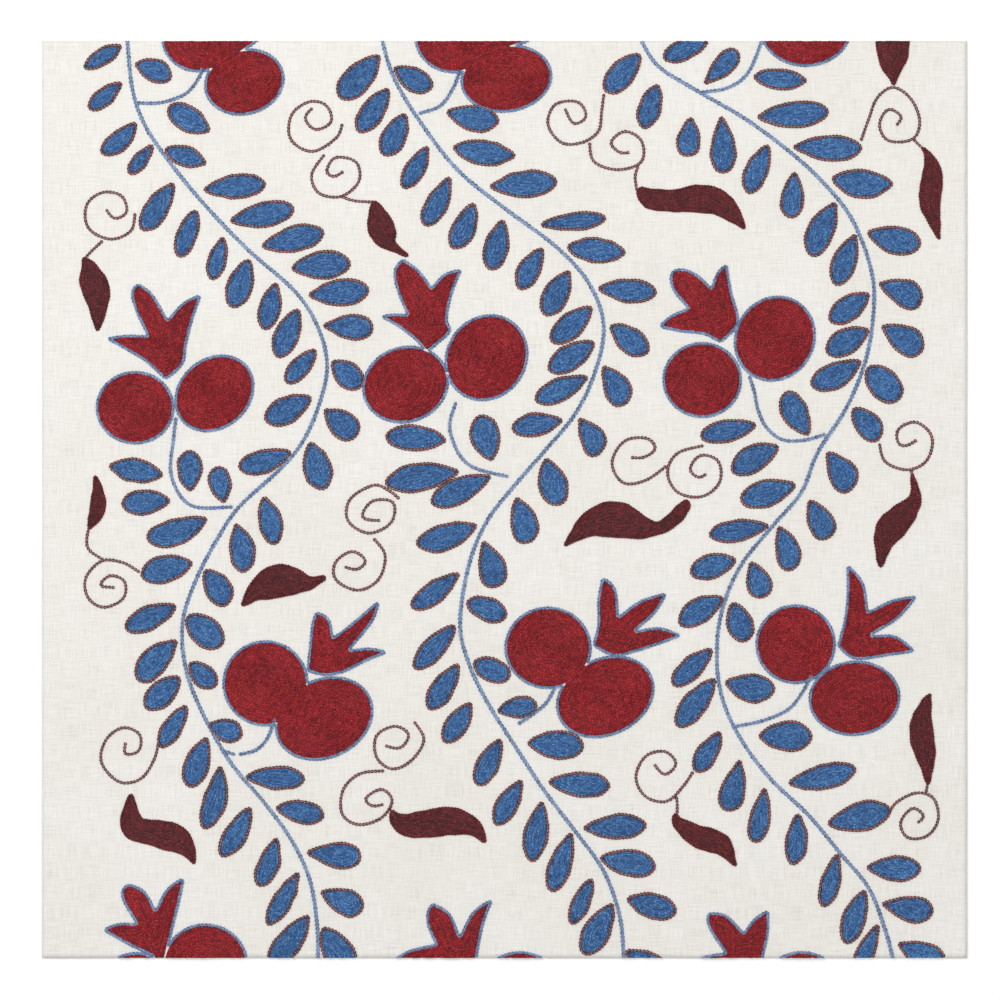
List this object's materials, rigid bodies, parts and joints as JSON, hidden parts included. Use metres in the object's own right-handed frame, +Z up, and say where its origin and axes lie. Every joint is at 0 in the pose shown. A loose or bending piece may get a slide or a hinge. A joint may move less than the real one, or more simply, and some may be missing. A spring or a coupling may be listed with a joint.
{
  "type": "embroidered textile panel",
  "caption": "Flat cut length of cotton cloth with raised chain-stitch embroidery: undulating vines, leaves, pomegranates and curling tendrils.",
  "frame": {"origin": "middle of the cloth's underside", "axes": "+Z up out of the embroidered face, +X across the cloth, +Y along it towards the end where the vines begin"},
  "size_m": [0.51, 0.5056, 0.0021],
  "materials": {
    "cotton_ground": "matt plain weave",
    "red_silk": "silky chain stitch",
    "blue_silk": "silky chain stitch",
    "maroon_silk": "silky chain stitch"
  },
  "bodies": {
    "root": {"cloth": "cotton_ground"}
  },
  "joints": []
}
